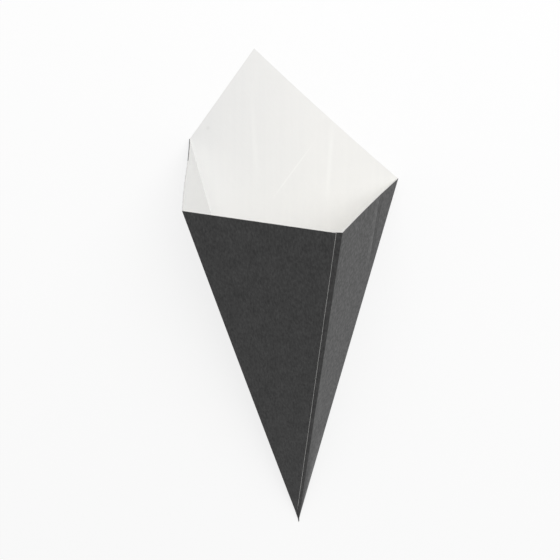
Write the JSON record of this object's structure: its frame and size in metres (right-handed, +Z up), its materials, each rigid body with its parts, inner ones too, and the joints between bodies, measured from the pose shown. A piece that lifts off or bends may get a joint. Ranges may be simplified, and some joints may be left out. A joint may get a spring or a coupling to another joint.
{
  "type": "paper fry cone",
  "caption": "Tapered open cone folded from one sheet of board, dark outside and white inside, with a tall pointed back panel, glued down one seam, for holding fries or other snacks.",
  "frame": {"origin": "middle of the lying cone's bounding box, on the outer face of the back panel where it meets the floor", "axes": "+Y from the tip towards the mouth along the back panel, +Z up out of the floor, +X across the back panel towards the panel with the glue flap"},
  "size_m": [0.1076, 0.2542, 0.0645],
  "materials": {
    "board": "matt"
  },
  "bodies": {
    "root": {"paper_cone": "board"}
  },
  "joints": []
}
